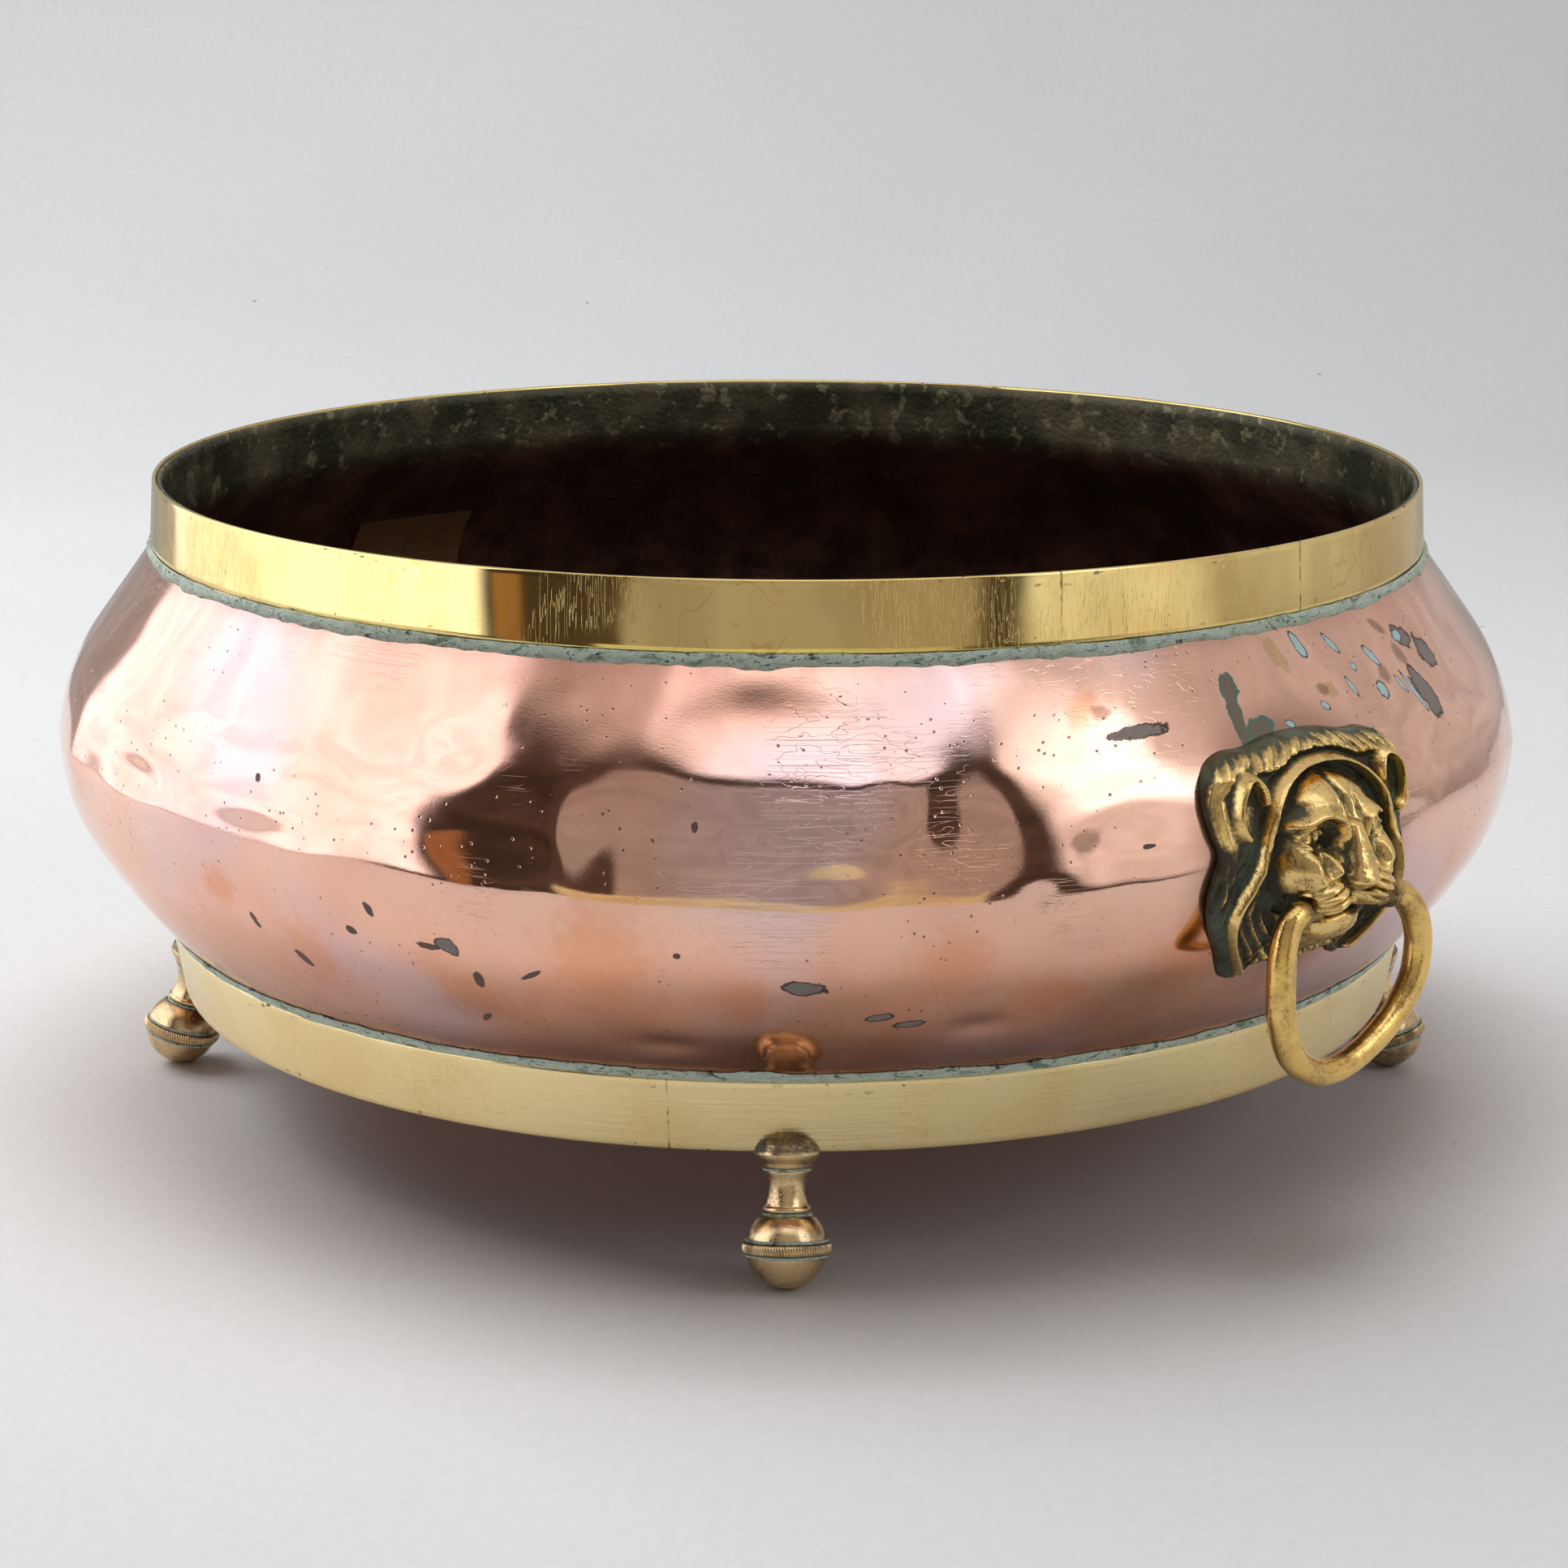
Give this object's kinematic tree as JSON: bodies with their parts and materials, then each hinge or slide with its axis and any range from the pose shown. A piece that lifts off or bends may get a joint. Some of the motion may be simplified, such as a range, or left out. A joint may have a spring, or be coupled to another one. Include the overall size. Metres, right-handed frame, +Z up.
{
  "type": "planter pot",
  "caption": "Round-bellied copper planter with a brass collar and base band, splayed ball feet and swinging ring handles hung from lion masks.",
  "frame": {"origin": "on the ground, on the pot's axis, under the middle of the bowl", "axes": "+Z up along the pot's axis; +X through the two lion masks, the right-hand one on the +X side; the pot is the same after half a turn about Z"},
  "size_m": [0.4588, 0.42, 0.1826],
  "materials": {
    "copper": "polished pink copper sheet, dented, stained, dark brown inside",
    "collar_brass": "bright polished yellow brass with fine scratches",
    "band_brass": "satin yellow brass with faint stains",
    "foot_brass": "turned brass with dark patina and verdigris in the grooves",
    "mask_brass": "cast brass, bright on the high points, dark green-black patina in the hollows",
    "ring_brass": "cast brass rod, worn, pitted, filed near its ends",
    "backing_brass": "dull brass plate",
    "verdigris": "soft solder crusted with pale green verdigris",
    "steel": "dull steel"
  },
  "bodies": {
    "root": {"copper_bowl": "copper", "rim_collar": "collar_brass", "collar_solder": "verdigris", "base_band": "band_brass", "base_solder": "verdigris", "foot_front_cup": "foot_brass", "foot_front_neck": "foot_brass", "foot_front_ball_top": "foot_brass", "foot_front_milled_ring": "foot_brass", "foot_front_ball": "foot_brass", "foot_front_tie_rod": "steel", "foot_right_cup": "foot_brass", "foot_right_neck": "foot_brass", "foot_right_ball_top": "foot_brass", "foot_right_milled_ring": "foot_brass", "foot_right_ball": "foot_brass", "foot_right_tie_rod": "steel", "foot_back_cup": "foot_brass", "foot_back_neck": "foot_brass", "foot_back_ball_top": "foot_brass", "foot_back_milled_ring": "foot_brass", "foot_back_ball": "foot_brass", "foot_back_tie_rod": "steel", "foot_left_cup": "foot_brass", "foot_left_neck": "foot_brass", "foot_left_ball_top": "foot_brass", "foot_left_milled_ring": "foot_brass", "foot_left_ball": "foot_brass", "foot_left_tie_rod": "steel", "lion_mask_right": "mask_brass", "mask_studs_right": "steel", "backing_plate_right": "backing_brass", "stud_nuts_right": "steel", "lion_mask_left": "mask_brass", "mask_studs_left": "steel", "backing_plate_left": "backing_brass", "stud_nuts_left": "steel"},
    "ring_right": {"ring_handle_right": "ring_brass"},
    "ring_left": {"ring_handle_left": "ring_brass"}
  },
  "joints": [
    {"name": "ring_right_swing", "type": "hinge", "parent": "root", "child": "ring_right", "pos_m": [0.222, 0, 0.09886], "axis": [0, -1, 0], "range_deg": [-27, 183]},
    {"name": "ring_left_swing", "type": "hinge", "parent": "root", "child": "ring_left", "pos_m": [-0.222, 0, 0.09886], "axis": [0, 1, 0], "range_deg": [-27, 183]}
  ]
}
